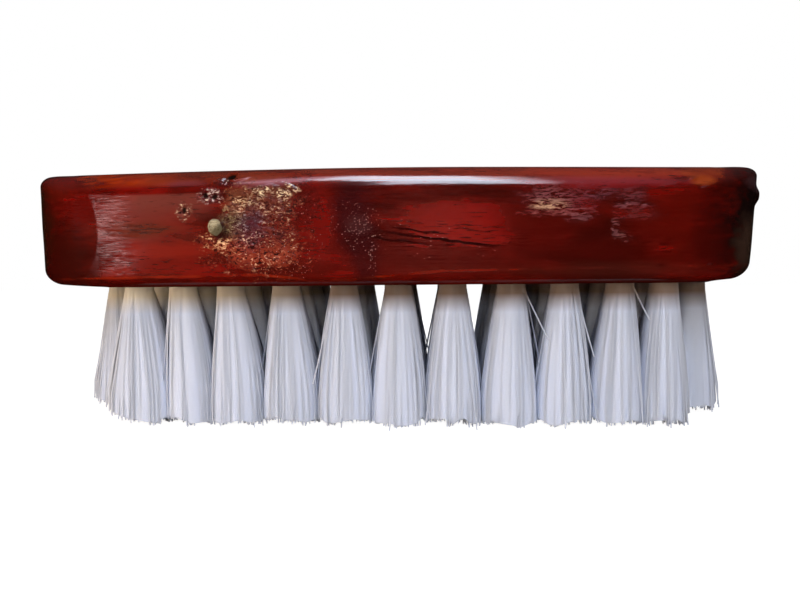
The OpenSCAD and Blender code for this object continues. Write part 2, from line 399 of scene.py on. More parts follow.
def add(tree, kind, inputs=None, **settings):
    """Adds a node. settings are its own. inputs maps a socket's name or number to
    a value, to an output, or to a node, whose first output in use is linked."""
    made = tree.nodes.new(kind)
    for name, value in settings.items():
        setattr(made, name, value)
    for key, value in (inputs or {}).items():
        if isinstance(value, bpy.types.Node):
            value = next(output for output in value.outputs if output.enabled)
        if isinstance(value, bpy.types.NodeSocket):
            tree.links.new(value, made.inputs[key])
        else:
            made.inputs[key].default_value = value
    return made


def new_finish(name):
    """A new material and its node tree, with nothing in it yet."""
    material = bpy.data.materials.new(name)
    material.use_nodes = True
    material.node_tree.nodes.clear()
    return material, material.node_tree


varnished_wood, wood = new_finish("gloss_varnished_hardwood")
place = add(wood, "ShaderNodeVectorMath", {
    0: add(wood, "ShaderNodeTexCoord").outputs["Object"], 1: (1 / mm,) * 3}, operation="MULTIPLY")
place_xyz = add(wood, "ShaderNodeSeparateXYZ", {0: place})
along, across, up = (place_xyz.outputs[axis] for axis in "XYZ")


def grain(length, width, detail=3, distortion=0.3):
    """Pattern of spots about length mm long and width mm wide along the grain."""
    stretched = add(wood, "ShaderNodeVectorMath", {
        0: place, 1: (1 / length, 1 / width, 1 / width)}, operation="MULTIPLY")
    return add(wood, "ShaderNodeTexNoise", {
        "Vector": stretched, "Scale": 1, "Detail": detail, "Roughness": 0.6,
        "Distortion": distortion})


def share_of(*limits):
    """Share from 0 to 1 that every limit lets through. A limit is a pattern, a place
    or a plain share, then the value of it at which nothing gets through and the
    value at which all does."""
    share = 1
    for pattern, none, full in limits:
        limit = add(wood, "ShaderNodeMapRange", {0: pattern, 1: none, 2: full})
        share = add(wood, "ShaderNodeMath", {0: share, 1: limit}, operation="MULTIPLY")
    return share


def lay(under, tint, *limits):
    """Lays a tint over the colour under it, where every limit lets it through."""
    return add(wood, "ShaderNodeMix", {"Factor": share_of(*limits), 6: under, 7: linear(tint)},
               data_type="RGBA")


# Stain, in blotches about 14 mm long, with finer streaks along the grain
blotch_weight = 0.75
streak_weight = 0.3
blotch = grain(14, 4, detail=4)
streak = grain(9, 0.6)
stain_depth = add(wood, "ShaderNodeMath", {
    0: streak, 1: streak_weight,
    2: add(wood, "ShaderNodeMath", {0: blotch, 1: blotch_weight}, operation="MULTIPLY")},
    operation="MULTIPLY_ADD")
stain = add(wood, "ShaderNodeValToRGB", {0: stain_depth})
stain_steps = stain.color_ramp.elements
stain_steps[0].position = 0.38
stain_steps[0].color = linear("#330401")
stain_steps[1].position = 0.66
stain_steps[1].color = linear("#740b04")
stain_steps.new(0.52).color = linear("#500602")
colour = stain

# Broad blotches on the photographed side: other stain, darkening toward both
# ends, and painted light where noted. x, z and half sizes in millimetres, the
# share of the blotch's colour in its middle, its colour. They fade out before
# the far half of the block.
front = (across, -3, -12)
ragged = grain(5, 0.9, detail=4)
blotches = [
    (8.6, 26.2, 8.0, 2.6, 0.85, "#720702"),
    (-8.2, 26.4, 2.4, 4.6, 0.80, "#620a04"),
    (-9.0, 22.0, 3.0, 3.0, 0.60, "#5c0c06"),
    (-3.9, 27.0, 2.9, 6.0, 0.90, "#300708"),
    (-2.4, 21.5, 1.9, 4.5, 0.85, "#310809"),
    (-3.3, 25.7, 1.6, 1.3, 0.22, "#5a3232"),
    (9.0, 21.0, 13.0, 2.2, 0.70, "#450602"),
    # a painted reflection, a brownish haze below the edge at the left
    (-31.0, 25.6, 8.5, 2.6, 0.75, "#701e14"),
    (-31.6, 25.5, 5.0, 1.2, 0.65, "#4c2010"),
    # painted reflections: violet sheen high on the wall, where the window's highlight fades out to
    # the left
    (-26.0, 31.3, 3.6, 0.5, 0.70, "#6a3038"),
    (-14.6, 31.1, 4.4, 0.8, 0.60, "#80545e"),
    (-19.8, 31.8, 2.4, 0.5, 0.85, "#2e0a0e"),
    (-28.0, 22.6, 9.0, 1.3, 0.80, "#781609"),
    (-30.0, 20.6, 9.0, 1.4, 0.70, "#6a1006"),
    (26.0, 22.0, 9.0, 4.5, 0.85, "#2a0301"),
    (30.0, 19.8, 16.0, 1.1, 0.60, "#3a120c"),
    (18.5, 26.5, 4.5, 5.0, 0.75, "#450401"),
    (28.0, 30.6, 10.0, 1.0, 0.80, "#72171a"),
    (36.4, 25.0, 4.4, 5.4, 0.80, "#480501"),
    (40.6, 24.0, 3.0, 6.5, 0.85, "#340301"),
    # toward the left end the colour darkens
    (-46.0, 20.5, 11.5, 9.5, 0.95, "#2c0502"),
    (-43.4, 30.9, 3.8, 1.6, 0.80, "#480a03"),
    (-48.0, 27.0, 4.4, 6.5, 0.90, "#260a03"),
    (-39.6, 28.2, 2.8, 2.2, 0.90, "#520401"),
    (-35.0, 20.0, 3.0, 1.0, 0.80, "#6c1006"),
    (-48.4, 25.0, 2.4, 9.0, 0.90, "#24160a"),
    (39.2, 30.7, 1.8, 0.7, 0.80, "#8c3810"),
    # toward the right end the colour darkens nearly to black
    (47.6, 25.0, 6.8, 11.0, 1.00, "#110504"),
    # a painted reflection, olive brown, on the wall of the right end
    (46.8, 22.6, 3.2, 4.4, 0.95, "#33231a"),
    (47.6, 31.0, 3.0, 1.2, 0.80, "#3c2728"),
]


def oval(x, z, half_x, half_z, rim=None, rim_height=1.2):
    """Distance from a place on the front, in shares of the half sizes, with the
    pattern of its rim added, so that the oval's edge isn't a smooth line."""
    near = add(wood, "ShaderNodeVectorMath", {0: place, 1: (x, 0, z)}, operation="SUBTRACT")
    unit = add(wood, "ShaderNodeVectorMath", {
        0: near, 1: (1 / half_x, 0, 1 / half_z)}, operation="MULTIPLY")
    far = add(wood, "ShaderNodeVectorMath", {0: unit}, operation="LENGTH")
    return add(wood, "ShaderNodeMath", {0: rim or ragged, 1: rim_height, 2: far},
               operation="MULTIPLY_ADD")


for x, z, half_x, half_z, share, tint in blotches:
    colour = lay(colour, tint, (oval(x, z, half_x, half_z), 1.75, 1.1), front, (share, 0, 1))

# A painted reflection, a dull brown haze, lies just below the edge on the left
colour = lay(colour, "#682f26", front, (up, 30.0, 29.7), (up, 26.0, 28.8),
             (along, -38, -31), (along, -20.5, -23.5), (0.85, 0, 1))

# Edges: on the rounding of the back the stain is thin, most of all near the
# left end. Each worn stretch: x, half length, share and colour. Along the foot
# of the wall runs one wavering painted highlight, and below it the rounding is
# darker toward the underside.
edge = (up, back_z / mm - 2.0, back_z / mm - 1.2)
wear = grain(7, 1.5)
worn_stretches = (
    (-33.5, 6.0, 0.95, "#882804"),
    (-22.0, 9.0, 0.70, "#6c2008"),
    (-12.0, 6.0, 0.50, "#7a2a10"),
    (5.0, 14.0, 0.70, "#7a2a1a"),
    (27.0, 9.0, 0.80, "#862a18"),
    (39.5, 2.6, 0.60, "#86300f"),
)
for x, half_x, share, tint in worn_stretches:
    colour = lay(colour, tint, edge, (across, -12, -15), (wear, 0.25, 0.5), (share, 0, 1),
                 (oval(x, back_z / mm, half_x, 9), 1.75, 1.5))
foot_dip = 0.9
foot_slope = 0.012
dip = share_of((along, -16, -9), (along, 7, -5))
dipping = add(wood, "ShaderNodeMath", {0: dip, 1: foot_dip, 2: up}, operation="MULTIPLY_ADD")
foot = add(wood, "ShaderNodeMath", {0: along, 1: -foot_slope, 2: dipping},
           operation="MULTIPLY_ADD")
foot_highlight = [(foot, 19.50, 19.7), (foot, 19.98, 19.76), (grain(4, 1), 0.38, 0.62), front]
colour = lay(colour, "#7e2008", *foot_highlight, (along, 25, -13), (along, -44, -34))
colour = lay(colour, "#6c1407", *foot_highlight, (0.35, 0, 1))
colour = lay(colour, "#2c0602", (up, 19.3, 18.4), (0.7, 0, 1))

# Pores: dark dashes up to 4 mm long, closer together in some places
pores = grain(2.4, 0.2, detail=2, distortion=0)
colour = lay(colour, "#1b0201", (pores, 0.58, 0.65), (grain(9, 3), 0.42, 0.75))
colour = lay(colour, "#1b0201", (pores, 0.56, 0.63), front,
             (oval(8.0, 23.4, 11, 3.2), 1.65, 1.2), (0.75, 0, 1))
colour = lay(colour, "#2c1410", (pores, 0.50, 0.58), front,
             (oval(-31.5, 25.6, 4.5, 0.8), 1.65, 1.2), (0.5, 0, 1))
# One dark growth line slants down across the middle, and smaller ones lie beside
# it. Each: its height at the middle of the brush, half width, x, half length.
growth_slope = 0.13
slanting = add(wood, "ShaderNodeMath", {0: along, 1: growth_slope, 2: up},
               operation="MULTIPLY_ADD")
growth = add(wood, "ShaderNodeMath", {0: grain(4, 2), 1: 1.0, 2: slanting},
             operation="MULTIPLY_ADD")
growth_lines = ((25.1, 0.10, 8.0, 9.5), (25.8, 0.06, 4.0, 4.0),
                (24.3, 0.08, 2.0, 5.0), (23.2, 0.06, 16.0, 6.0))
for line_z, half, x, half_x in growth_lines:
    colour = lay(colour, "#1b0201", (growth, line_z - 2 * half, line_z - half), front,
                 (growth, line_z + 2 * half, line_z + half), (oval(x, 24.4, half_x, 3), 1.5, 1.3))

# Painted reflections near the right end: pale scaly strokes in a violet haze,
# the brightest of them pale tan in its middle. Each: x, z, half sizes, share and colour.
scales = grain(1.3, 0.24, detail=5, distortion=0.6)
flakes = grain(0.8, 0.3, detail=5)
reflection_strokes = (
    (20.3, 28.7, 2.6, 1.20, 0.8, "#7b4b4e"),
    (23.6, 28.5, 2.0, 1.30, 0.7, "#6e353c"),
    (23.9, 26.6, 1.5, 0.70, 0.7, "#7c4d50"),
    (20.6, 26.9, 2.8, 0.40, 0.8, "#8a4a48"),
    (26.8, 29.3, 1.6, 0.60, 0.6, "#6a4650"),
    (30.4, 28.9, 1.4, 0.80, 0.7, "#61393e"),
    (30.5, 27.6, 1.8, 0.35, 0.9, "#76464a"),
    (31.0, 26.5, 2.2, 0.50, 0.7, "#623434"),
    (28.3, 25.0, 0.4, 1.00, 0.8, "#7c5050"),
    (29.6, 23.9, 0.6, 0.50, 0.8, "#7c4e4c"),
)
for x, z, half_x, half_z, share, tint in reflection_strokes:
    colour = lay(colour, tint, (scales, 0.44, 0.62), front, (share, 0, 1),
                 (oval(x, z, half_x, half_z, flakes, 2.6), 2.9, 1.8))
reflection_cores = ((20.3, 27.9, 2.0, 0.6, "#94705c"), (20.0, 27.7, 1.7, 0.4, "#bd9472"))
for x, z, half_x, half_z, tint in reflection_cores:
    colour = lay(colour, tint, (scales, 0.42, 0.60), front, (flakes, 0.36, 0.50),
                 (oval(x, z, half_x, half_z, flakes, 2.6), 2.8, 1.9))

# Burst varnish: rough brown ground, golden crests lit with painted highlights and
# painted shade in the hollows; round it smooth salmon patches, holes painted dark
# with shade, one resin bead, and pale nibs farther on. Each patch: x, z, half sizes,
# share and colour. Each crust: x, z, half sizes, the share and colour of its
# ground, the crests' colour with its painted highlight, and where they begin.
pit_depth = add(wood, "ShaderNodeAttribute", attribute_name="pit").outputs["Fac"]
bead_rise = add(wood, "ShaderNodeAttribute", attribute_name="bead").outputs["Fac"]
specks = grain(0.56, 0.36, detail=3, distortion=1.1)
fine_specks = grain(0.24, 0.18, detail=3, distortion=0.5)
torn = grain(1.1, 0.8, detail=5, distortion=0.5)
patches = (
    (-17.8, 22.2, 2.1, 1.5, 0.8, "#863422"),
    (-13.9, 22.4, 2.3, 1.6, 0.8, "#883825"),
    (-16.0, 24.2, 5.0, 1.6, 0.7, "#6e2418"),
    (-10.6, 28.5, 2.3, 2.6, 0.8, "#4c0a07"),
    # the bead's painted shadow, below it to the right
    (-20.6, 24.9, 1.1, 1.1, 0.9, "#280b08"),
)
for x, z, half_x, half_z, share, tint in patches:
    colour = lay(colour, tint, (oval(x, z, half_x, half_z, torn, 2.0), 2.4, 1.6), front,
                 (share, 0, 1))
crusts = (
    (-17.6, 28.4, 2.2, 1.9, 0.80, "#74402c", "#b48a60", 0.55),
    (-14.2, 28.9, 3.0, 1.4, 0.70, "#5e2c22", "#a07858", 0.56),
    (-14.6, 27.2, 2.4, 1.8, 0.70, "#5c281e", "#a87c60", 0.56),
    (-18.5, 27.2, 0.7, 1.2, 0.70, "#7c4030", "#d2a888", 0.52),
    (-17.5, 28.7, 1.2, 0.6, 0.60, "#74442e", "#dcc090", 0.51),
    (-15.4, 30.0, 1.0, 0.6, 0.60, "#6c402e", "#e2cca0", 0.52),
    (-12.5, 29.9, 1.5, 0.8, 0.60, "#683c2c", "#dcc49c", 0.53),
    (-19.0, 25.9, 1.6, 1.6, 0.85, "#554230", "#948658", 0.53),
    (-22.2, 23.9, 1.6, 0.8, 0.40, "#7a2a1c", "#d8b27c", 0.53),
    (-20.0, 23.1, 1.8, 0.8, 0.40, "#7e3020", "#cfa270", 0.54),
    (-13.9, 24.4, 2.6, 1.1, 0.80, "#56201a", "#a8825a", 0.57),
    (-17.0, 25.4, 1.6, 2.5, 0.90, "#401e26", "#7c6672", 0.55),
    (-16.0, 22.4, 5.0, 2.4, 0.20, "#7c2414", "#cc9470", 0.58),
    (-10.4, 28.5, 2.4, 2.6, 0.15, "#5c0e0a", "#a87060", 0.68),
    (-22.0, 29.4, 1.3, 0.8, 0.55, "#5a1c20", "#d4c2b8", 0.54),
    (-25.6, 27.7, 0.8, 0.8, 0.50, "#6c382c", "#d6bc98", 0.53),
    (-20.4, 31.2, 0.9, 0.4, 0.60, "#2a0c14", "#a48c98", 0.56),
)
clusters = grain(1.7, 1.1, detail=2)
# Each crust: its ground, painted shade in its low spots, its crests' painted highlight, and
# painted glints on their tops
for x, z, half_x, half_z, share, ground, crest, crest_from in crusts:
    zone = (oval(x, z, half_x, half_z, torn, 2.6), 2.85, 1.8)
    colour = lay(colour, ground, zone, front, (share, 0, 1))
    colour = lay(colour, "#240a06", zone, front, (specks, 0.47, 0.39))
    colour = lay(colour, crest, zone, front, (specks, crest_from, crest_from + 0.09),
                 (clusters, 0.34, 0.52))
    colour = lay(colour, "#e6cfa4", zone, front, (specks, crest_from + 0.05, crest_from + 0.12),
                 (fine_specks, 0.48, 0.58), (clusters, 0.42, 0.56))
# Broader hollows of painted shade run through the whole crust, and the holes are painted dark
# inside, as shade
hollows = grain(1.0, 0.55, detail=4, distortion=1.0)
colour = lay(colour, "#2a0c08", (oval(-15.4, 27.2, 4.6, 4.0, torn, 2.6), 2.85, 1.8), front,
             (hollows, 0.44, 0.37), (0.6, 0, 1))
colour = lay(colour, "#180c09", (pit_depth, 0.25, 0.75))
# The bead of resin: dusty yellow and mottled, with painted light on its upper
# left and painted shade on its lower right, set in a painted shadow that shows
# most at its lower right
bead_shadow_right, bead_shadow_down = 0.55, 0.45
bead_slant = 0.8
bead_middle = bead_z - bead_slant * bead_x
bead_foot = (bead_rise, 0.4, 0.55)
bead_body = (bead_rise, 0.4, 0.7)
bead_crown = (bead_rise, 0.6, 0.9)
colour = lay(colour, "#240a07",
             (oval(bead_x + bead_shadow_right, bead_z - bead_shadow_down, 1.2, 1.2, torn, 0.8), 1.5, 1.1),
             front, (0.85, 0, 1))
bead_side = add(wood, "ShaderNodeMath", {0: along, 1: -bead_slant, 2: up},
                operation="MULTIPLY_ADD")
colour = lay(colour, "#5c543f", bead_foot)
colour = lay(colour, "#958a6e", bead_foot, (bead_side, bead_middle - 0.5, bead_middle + 0.1))
colour = lay(colour, "#b8ab8c", bead_crown, (torn, 0.38, 0.54),
             (bead_side, bead_middle, bead_middle + 0.7))
colour = lay(colour, "#5e523c", bead_body, (torn, 0.50, 0.60), (0.8, 0, 1))
colour = lay(colour, "#3c3022", bead_body, (fine_specks, 0.54, 0.64), (0.7, 0, 1))
# Nibs, specks of dust caught in the varnish, shown by their painted glints: small
# round pale spots about 0.2 mm apart, of which few are picked. Each area: x, z, half sizes, share
# left out.
nibs_per_mm = 4.8
nib_spots = add(wood, "ShaderNodeTexVoronoi", {"Vector": place, "Scale": nibs_per_mm})
nib_pick = add(wood, "ShaderNodeSeparateColor", {0: nib_spots.outputs["Color"]})
nib_areas = (
    (-3.3, 25.7, 1.6, 1.5, 0.20),
    (-3.4, 25.6, 3.4, 3.2, 0.72),
    (-1.8, 22.4, 0.9, 3.0, 0.70),
    (4.0, 23.6, 12.0, 2.5, 0.95),
    (-12.0, 24.0, 5.0, 5.5, 0.88),
)
for x, z, half_x, half_z, left_out in nib_areas:
    colour = lay(colour, "#bfa8a2", (nib_spots, 0.21, 0.10), front,
                 (nib_pick, left_out, left_out + 0.02), (oval(x, z, half_x, half_z), 1.7, 1.4))

# The tints above are as they look in the photographed room, which is dim
room_light = 0.74
colour = add(wood, "ShaderNodeVectorMath", {0: colour, 1: (1 / room_light,) * 3},
             operation="MULTIPLY")

# The varnish levels most of the grain. What is left are bumps of a few thousandths
# of a millimetre: the film's own waves, the pores, and lines of open grain
# toward the left end. Only the blisters are rough.
film_height = 0.008 * mm
blister_height = 0.05 * mm
pore_depth = 0.007 * mm
open_grain_depth = 0.003 * mm
blistered = add(wood, "ShaderNodeAttribute", attribute_name="blister").outputs["Fac"]
film_bump = add(wood, "ShaderNodeBump", {
    "Height": grain(5, 0.5), "Strength": 1, "Distance": film_height})
blister_bump = add(wood, "ShaderNodeBump", {
    "Height": share_of((specks, 0.3, 0.7), (blistered, 0, 1)), "Strength": 1,
    "Distance": blister_height, "Normal": film_bump})
pore_bump = add(wood, "ShaderNodeBump", {
    "Height": pores, "Strength": 1, "Distance": pore_depth, "Normal": blister_bump})
open_grain = add(wood, "ShaderNodeBump", {
    "Height": share_of((pores, 0.3, 0.7), (along, -30, -35), (along, -39, -37)), "Strength": 1,
    "Distance": open_grain_depth, "Normal": pore_bump})
# On the wall near the left end the coat is dull along some lines of the grain.
# Anywhere else a sum above the limit keeps it whole.
dull_lines = grain(6, 0.22, detail=3)
for direction, dull_at, glossy_at in ((along, -32, -28), (along, -37.5, -39.5),
                                      (across, -15.5, -13)):
    dull_lines = add(wood, "ShaderNodeMath", {
        0: dull_lines,
        1: add(wood, "ShaderNodeMapRange", {0: direction, 1: dull_at, 2: glossy_at})},
        operation="ADD")
# The coat has come off the burst spots, the holes and the bead, and it stops at
# the underside's edge. Its IOR is above the 1.5 of real varnish, and is matched
# to how bright the highlight is.
shader = add(wood, "ShaderNodeBsdfPrincipled", {
    "Base Color": colour, "Roughness": 0.5, "Specular IOR Level": 0,
    "Normal": blister_bump, "Coat Roughness": 0.11, "Coat IOR": 2.1, "Coat Normal": open_grain,
    "Coat Weight": share_of((blistered, 1.15, 0.2), (pit_depth, 0.5, 0.1),
                            (bead_rise, 0.3, 0.02), (up, 18.3, 19.1), (dull_lines, 0.36, 0.58))})
shader.name = "finish"
add(wood, "ShaderNodeOutputMaterial", {"Surface": shader})
block_mesh.materials.append(varnished_wood)

# The underside has the stain but no varnish, so it stays matt
bare_gloss = 0.2
bare_roughness = 0.7
bare_wood = varnished_wood.copy()
bare_wood.name = "stained_bare_hardwood"
bare_finish = bare_wood.node_tree.nodes["finish"]
bare_wood.node_tree.links.remove(bare_finish.inputs["Coat Weight"].links[0])
bare_finish.inputs["Coat Weight"].default_value = 0
bare_finish.inputs["Specular IOR Level"].default_value = bare_gloss
bare_finish.inputs["Roughness"].default_value = bare_roughness
block_mesh.materials.append(bare_wood)
for face in block_mesh.polygons:
    if face.index >= first_under_face:
        face.material_index = 1


# Tufts. Each is a bundle of white nylon filaments, folded once into its bore.
# Below the wood it opens into a fan that meets its neighbours well above the
# tips, which are trimmed level and a little ragged.

# One filament, 0.2 mm thick: how far it sways, how far its tip lies off, in
# millimetres, and how unevenly it is trimmed
filament_radius = 0.1 * mm
filament_sides = 3
filament_rings = 8
filament_sway = 0.1
filament_shift = 0.12
filament_trim = 0.08 * mm
# A bundle has most of its filaments near its outside, in a sunflower pattern, and
# a solid core that ends a little short of the tips. A few filaments stray.
filaments_per_tuft = 230
strays_per_tuft = 10
golden_turn = math.radians(137.508)
outer_crowding = 0.28
root_reach = 1.68 * mm
root_inside = 2.5 * mm
core_share = 0.96
core_sides = 20
core_short = 0.3 * mm
stray_reach = 1.5
stray_end_cut = 0.4
# Filaments cling together in locks, each trimmed and shifted a little as one
lock_count = 17
lock_trim = 0.3 * mm
lock_shift = 0.12
lock_pull = 0.3
trim_mean = 0.4 * mm
# The fan: how fast filaments leave the bundle, in the front row, in the rows
# behind and at the ends, the share of their length at which they are fully
# spread, and how squarely the fans fill the field. A filament is shaded nearly as
# its bundle is, because light that passes from one to the next evens them out.
fan_bend = 1.4
rear_bend = 1.1
end_bend = 0.95
bend_range = (0.9, 1.1)
spread_range = (0.9, 1.03)
fan_done = 0.85
tip_overlap = 1.05
tip_squareness = 0.55
bundle_shading = 0.92
# The fans lean toward the middle of the brush, more so on the left
lean_left = 0.055
lean_right = 0.022
# The last tuft of a row spreads outward, and is trimmed shorter on that side
end_spread_left = 2.5 * mm
end_spread_right = 0.2 * mm
end_trim_left = 2.4 * mm
end_trim_right = 1.0 * mm
# Loose filaments across the gaps of the front row: x and z of their tips
loose_tips = {
    "tuft_r1_03": [(-17.1, 0.0)],
    "tuft_r1_05": [(-5.9, 0.0), (-9.5, 5.6)],
    "tuft_r1_08": [(16.4, 0.0), (20.2, 11.1)],
    "tuft_r1_09": [(25.8, 9.0)],
    "tuft_r1_10": [(32.6, 13.5)],
}

# Nylon, drawn into filaments: a cool white, with a silky gloss, and light passes
# some way through it
nylon, fibre = new_finish("white_nylon_filament")
fibre_place = add(fibre, "ShaderNodeSeparateXYZ", {
    0: add(fibre, "ShaderNodeTexCoord").outputs["Object"]})
# Painted shade a few millimetres down the roots, warmed like light off the red wood:
# beige and lighter at the left end, where more light is painted, brown to the right
root_shade_down, root_shade_full = 3.6 * mm, 1.2 * mm
root_shade_colour = add(fibre, "ShaderNodeMix", {
    "Factor": add(fibre, "ShaderNodeMapRange", {
        0: fibre_place.outputs["X"], 1: -36 * mm, 2: -8 * mm}),
    6: linear("#e0cfae"), 7: linear("#806a5a")}, data_type="RGBA")
root_shade = add(fibre, "ShaderNodeMapRange", {
    0: fibre_place.outputs["Z"], 1: under_z - root_shade_down, 2: under_z - root_shade_full})
fibre_colour = add(fibre, "ShaderNodeMix", {
    "Factor": root_shade, 6: linear("#d5ddee"), 7: root_shade_colour}, data_type="RGBA")
fibre_shader = add(fibre, "ShaderNodeBsdfPrincipled", {
    "Base Color": fibre_colour, "Roughness": 0.45, "IOR": 1.53,
    "Specular IOR Level": 0.2, "Subsurface Weight": 0.5,
    "Subsurface Radius": (1, 1, 1), "Subsurface Scale": 0.4 * mm})
add(fibre, "ShaderNodeOutputMaterial", {"Surface": fibre_shader})

rows = {}
for name in tuft_names:
    rows.setdefault(name.split("_")[1], []).append(name)
row_names = sorted(rows)
row_pitch = (bores[rows[row_names[-1]][0]][1] - bores[rows[row_names[0]][0]][1]) / (
    len(row_names) - 1)


def tip_centres(names):
    """Where along the brush the middle of each fan's tips lies, in one row."""
    return [bores[n][0] * (1 - (lean_left if bores[n][0] < 0 else lean_right)) for n in names]


def squared(angle):
    """How much farther a fan reaches at this angle than straight to its sides."""
    return max(abs(math.cos(angle)), abs(math.sin(angle)))**-tip_squareness


def close_tube(quads, first, sides):
    """Adds the wall and both ends of a tube whose rings of points start at first."""
    for k in range(filament_rings - 1):
        for s in range(sides):
            t = (s + 1) % sides
            p = first + k * sides
            quads.append((p + s, p + sides + s, p + sides + t, p + t))
    last = first + (filament_rings - 1) * sides
    quads.append(tuple(range(first, first + sides)))
    quads.append(tuple(reversed(range(last, last + sides))))


def filament_bundle(name, tip_x, reach_left, reach_right, reach_y, bend, trims, seed):
    """Mesh of one tuft: filaments from inside the bore down to the trimmed tips. A
    tuft at an end of its row has a trim on that side, and opens there evenly."""
    draw = random.Random(seed)
    cx, cy = bores[name]
    turn = draw.uniform(0, 2 * math.pi)
    locks = [(draw.gauss(0, 1), draw.gauss(0, 1), draw.gauss(0, 1)) for _ in range(lock_count)]
    outward = bool(trims[1]) - bool(trims[0])
    end_trim = sum(trims)
    paths = []
    for number in range(filaments_per_tuft + strays_per_tuft):
        stray = number >= filaments_per_tuft
        angle = draw.uniform(0, 2 * math.pi) if stray else turn + golden_turn * number
        share = 1 if stray else ((number + 0.5) / filaments_per_tuft)**outer_crowding
        lock_index = int((angle % (2 * math.pi)) / (2 * math.pi) * lock_count)
        lock = locks[lock_index]
        lock_turn = (lock_index + 0.5) / lock_count * 2 * math.pi - angle % (2 * math.pi)
        tip_angle = angle + (0 if stray else lock_pull * lock_turn)
        end_share = max(0, outward * math.cos(angle))
        spread = share * squared(angle) * draw.uniform(*spread_range)
        if stray:
            spread = draw.uniform(1, stray_reach - stray_end_cut * end_share)
        reach_x = reach_right if math.cos(angle) > 0 else reach_left
        tip_z = max(0, trim_mean + lock_trim * lock[2] + filament_trim * draw.gauss(0, 1))
        tip = Vector((
            tip_x + reach_x * spread * math.cos(tip_angle)
            + (lock_shift * lock[0] + filament_shift * draw.gauss(0, 1)) * mm,
            cy + reach_y * spread * math.sin(tip_angle)
            + (lock_shift * lock[1] + filament_shift * draw.gauss(0, 1)) * mm,
            tip_z + end_trim * (end_share * spread)**2))
        own_bend = (bend + (end_bend - bend) * end_share) * draw.uniform(*bend_range)
        paths.append((angle, share, tip, 1 if stray else own_bend, 1 if stray else fan_done))
    for x, z in loose_tips.get(name, ()):
        angle = -math.pi / 4 if x * mm > cx else -3 * math.pi / 4
        paths.append((angle, 1, Vector((x * mm, cy - reach_y, z * mm)), 1, 1))
    points, normals, quads = [], [], []
    root_middle = Vector((cx, cy, under_z + root_inside))
    for angle, share, tip, own_bend, done in paths:
        root = Vector((cx + root_reach * share * math.cos(angle),
                       cy + root_reach * share * math.sin(angle), root_middle.z))
        sway = Vector((draw.gauss(0, filament_sway), draw.gauss(0, filament_sway), 0)) * mm
        first = len(points)
        for k in range(filament_rings):
            z = root.z + (tip.z - root.z) * k / (filament_rings - 1)
            free = max(0, (under_z - z) / (under_z - tip.z))
            opened = 1 - (1 - min(1, free / done))**own_bend
            centre = root.lerp(tip, opened) + sway * math.sin(math.pi * free)
            for s in range(filament_sides):
                around = angle + 2 * math.pi * s / filament_sides
                points.append((centre.x + filament_radius * math.cos(around),
                               centre.y + filament_radius * math.sin(around), z))
                own = Vector((math.cos(around), math.sin(around), 0))
                bundle = Vector((math.cos(angle), math.sin(angle), 0))
                normals.append(own.lerp(bundle, bundle_shading).normalized())
        close_tube(quads, first, filament_sides)
    # The bundle is densest inside: its core is one body, short of the tips
    first = len(points)
    for k in range(filament_rings):
        down = k / (filament_rings - 1)
        for s in range(core_sides):
            angle = 2 * math.pi * s / core_sides
            square = squared(angle)
            reach_x = reach_right if math.cos(angle) > 0 else reach_left
            lock = locks[int(s / core_sides * lock_count)]
            end_share = max(0, outward * math.cos(angle))
            low = trim_mean + core_short + lock_trim * lock[2] + end_trim * end_share**2
            z = root_middle.z + (low - root_middle.z) * down
            free = max(0, (under_z - z) / (under_z - trim_mean))
            own_bend = bend + (end_bend - bend) * end_share
            opened = 1 - (1 - min(1, free / fan_done))**own_bend
            inner = Vector((cx + root_reach * core_share * math.cos(angle),
                            cy + root_reach * core_share * math.sin(angle), z))
            outer = Vector((tip_x + reach_x * core_share * square * math.cos(angle),
                            cy + reach_y * core_share * square * math.sin(angle), z))
            points.append(inner.lerp(outer, opened))
            normals.append(Vector((math.cos(angle), math.sin(angle), 0)))
    close_tube(quads, first, core_sides)
    mesh = bpy.data.meshes.new(name + "_filaments")
    mesh.from_pydata(points, [], quads)
    mesh.shade_smooth()
    mesh.normals_split_custom_set_from_vertices(normals)
    mesh.materials.append(nylon)
    return mesh


seed = 1
for row in row_names:
    names = rows[row]
    tips = tip_centres(names)
    halves = [(b - a) / 2 for a, b in zip(tips, tips[1:])]
    halves = [halves[0] + end_spread_left] + halves + [halves[-1] + end_spread_right]
    for i, name in enumerate(names):
        mesh = filament_bundle(name, tips[i], tip_overlap * halves[i],
                               tip_overlap * halves[i + 1], tip_overlap * row_pitch / 2,
                               fan_bend if row == row_names[0] else rear_bend,
                               (end_trim_left * (i == 0), end_trim_right * (i == len(names) - 1)),
                               seed)
        tuft = put_in_scene(name + "_filaments", mesh)
        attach(tuft, "root")
        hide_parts(name)
        seed += 1


# Anchors. Flat blades cut from drawn, tinned steel wire. Each was driven in with
# the fold of its tuft, and is hidden in the bore. Tinned steel is a pale grey
# metal, here with fine lines from the drawing, about 0.05 mm wide.
line_width = 0.05 * mm
line_length = 2 * mm
tinned_wire, wire = new_finish("drawn_tinned_steel_wire")
draw_lines = add(wire, "ShaderNodeTexNoise", {
    "Vector": add(wire, "ShaderNodeVectorMath", {
        0: add(wire, "ShaderNodeTexCoord").outputs["Object"],
        1: (1 / line_width, 1 / line_length, 1 / line_width)}, operation="MULTIPLY"),
    "Scale": 1, "Detail": 2})
wire_rough = add(wire, "ShaderNodeMapRange", {
    0: draw_lines.outputs["Fac"], 3: 0.25, 4: 0.5})
wire_shader = add(wire, "ShaderNodeBsdfPrincipled", {
    "Base Color": linear("#b9b6ad"), "Metallic": 1, "Roughness": wire_rough})
add(wire, "ShaderNodeOutputMaterial", {"Surface": wire_shader})
